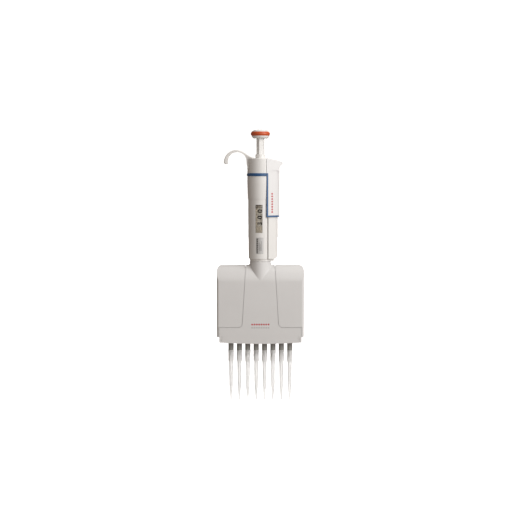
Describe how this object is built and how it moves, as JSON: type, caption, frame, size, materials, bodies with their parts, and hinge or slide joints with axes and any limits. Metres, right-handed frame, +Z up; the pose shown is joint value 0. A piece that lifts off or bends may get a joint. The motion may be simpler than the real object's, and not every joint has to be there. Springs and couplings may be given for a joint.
{
  "type": "multichannel pipette",
  "caption": "Handheld air-displacement pipette with a slim handle, finger hook, thumb ejector and a wide flat head carrying a row of disposable tips.",
  "frame": {"origin": "middle of the row of tips, at the plane of the tips' open ends", "axes": "+Z up to the button along the handle's axis, +X along the row of tips to the ejector's side, -Y to the display's side"},
  "size_m": [0.093, 0.029, 0.2892],
  "materials": {
    "casing_plastic": "satin moulded plastic",
    "head_plastic": "fine-textured moulded plastic",
    "blue_trim": "satin",
    "orange_ring": "satin",
    "window_plastic": "clear moulded window",
    "label": "printed film",
    "number_wheel_plastic": "matte",
    "inner_plastic": "engineering plastic",
    "dark_plastic": "satin chemical-resistant plastic",
    "rubber_seal": "matte",
    "steel": "bright",
    "brass": "machined",
    "aluminium": "machined",
    "clear_tip": "translucent polypropylene"
  },
  "bodies": {
    "handle": {"handle_lower_casing": "casing_plastic", "handle_upper_casing": "casing_plastic", "finger_hook_cap": "casing_plastic", "trim_ring": "blue_trim", "plunger_guide_bush": "casing_plastic", "display_window": "window_plastic", "rating_label": "label", "counter_frame": "inner_plastic", "swivel_bush": "inner_plastic", "spring_seat": "inner_plastic", "blowout_washer": "steel", "plunger_spring": "steel", "blowout_spring": "steel", "casing_screws": "steel", "pinion_axle": "steel"},
    "volume_drive": {"units_wheel": "number_wheel_plastic", "volume_screw": "brass"},
    "tens_counter": {"tens_wheel": "number_wheel_plastic"},
    "hundreds_counter": {"hundreds_wheel": "number_wheel_plastic"},
    "volume_stop": {"volume_stop_nut": "inner_plastic"},
    "plunger": {"thrust_rod": "steel"},
    "button": {"plunger_rod": "casing_plastic", "button_body": "casing_plastic", "button_colour_ring": "orange_ring", "button_cap": "casing_plastic"},
    "key": {"ejector_key": "casing_plastic", "ejector_key_trim": "blue_trim", "key_rack": "inner_plastic"},
    "pinion": {"ejector_pinion": "inner_plastic"},
    "bar": {"ejector_bar": "casing_plastic", "ejector_bar_ring": "casing_plastic"},
    "chassis": {"head_chassis": "inner_plastic", "chassis_bridge": "inner_plastic", "guide_columns": "steel", "cylinders": "inner_plastic", "piston_seals": "rubber_seal", "seal_retainer_plate": "steel", "chassis_screws": "steel", "swivel_spigot": "aluminium", "swivel_retaining_clip": "steel", "tip_cones": "dark_plastic", "tip_cone_rings": "rubber_seal", "piston_return_springs": "steel", "stripper_springs": "steel"},
    "piston_set": {"piston_carrier": "inner_plastic", "pistons": "steel", "piston_clip_bar": "inner_plastic", "pusher_rod": "steel"},
    "housing": {"housing_front_cover": "head_plastic", "housing_rear_cover": "head_plastic", "left_wing_cover": "head_plastic", "right_wing_cover": "head_plastic", "cover_screws": "steel", "wing_screws": "steel", "stripper_plate": "dark_plastic", "neck_ring": "head_plastic"},
    "tips": {"disposable_tips": "clear_tip"}
  },
  "joints": [
    {"name": "head_swivel", "type": "hinge", "parent": "handle", "child": "chassis", "pos_m": [0, 0, 0.1585], "axis": [0, 0, 1], "continuous": true},
    {"name": "plunger_press", "type": "slide", "parent": "handle", "child": "plunger", "axis": [0, 0, -1], "range_m": [0, 0.015], "stiffness_N_per_m": 400, "springref_m": -0.01, "deforming": ["plunger_spring"]},
    {"name": "volume_knob", "type": "hinge", "parent": "plunger", "child": "button", "pos_m": [0, 0, 0.28], "axis": [0, 0, 1], "range_deg": [0, 9720]},
    {"name": "units_turn", "type": "hinge", "parent": "handle", "child": "volume_drive", "pos_m": [0, 0, 0.2], "axis": [0, 0, 1], "range_deg": [0, 9720]},
    {"name": "tens_turn", "type": "hinge", "parent": "handle", "child": "tens_counter", "pos_m": [0, 0, 0.195], "axis": [0, 0, 1], "range_deg": [0, 972]},
    {"name": "hundreds_turn", "type": "hinge", "parent": "handle", "child": "hundreds_counter", "pos_m": [0, 0, 0.189], "axis": [0, 0, 1], "range_deg": [0, 97.2]},
    {"name": "stop_travel", "type": "slide", "parent": "handle", "child": "volume_stop", "axis": [0, 0, -1], "range_m": [0, 0.01125]},
    {"name": "piston_travel", "type": "slide", "parent": "chassis", "child": "piston_set", "axis": [0, 0, -1], "range_m": [0, 0.015], "deforming": ["piston_return_springs"]},
    {"name": "ejector_press", "type": "slide", "parent": "handle", "child": "key", "axis": [0, 0, -1], "range_m": [0, 0.02], "stiffness_N_per_m": 300, "springref_m": -0.01},
    {"name": "pinion_turn", "type": "hinge", "parent": "handle", "child": "pinion", "pos_m": [0.012, 0, 0.226], "axis": [0, 1, 0], "range_deg": [0, 286.48]},
    {"name": "bar_travel", "type": "slide", "parent": "handle", "child": "bar", "axis": [0, 0, -1], "range_m": [0, 0.012]},
    {"name": "housing_travel", "type": "slide", "parent": "chassis", "child": "housing", "axis": [0, 0, -1], "range_m": [0, 0.012], "stiffness_N_per_m": 10, "springref_m": -0.055, "deforming": ["stripper_springs"]},
    {"name": "tip_release", "type": "slide", "parent": "chassis", "child": "tips", "axis": [0, 0, -1], "range_m": [0, 0.0034]}
  ],
  "couplings": [
    {"joint": "volume_knob", "follows": "stop_travel", "rad_per_m": 15080},
    {"joint": "units_turn", "follows": "stop_travel", "rad_per_m": 15080},
    {"joint": "tens_turn", "follows": "stop_travel", "rad_per_m": 1508},
    {"joint": "hundreds_turn", "follows": "stop_travel", "rad_per_m": 150.8},
    {"joint": "piston_travel", "follows": "plunger_press", "ratio": 1},
    {"joint": "pinion_turn", "follows": "ejector_press", "rad_per_m": 250},
    {"joint": "bar_travel", "follows": "ejector_press", "ratio": 0.6},
    {"joint": "housing_travel", "follows": "ejector_press", "ratio": 0.6},
    {"joint": "tip_release", "follows": "ejector_press", "ratio": 0.17}
  ]
}
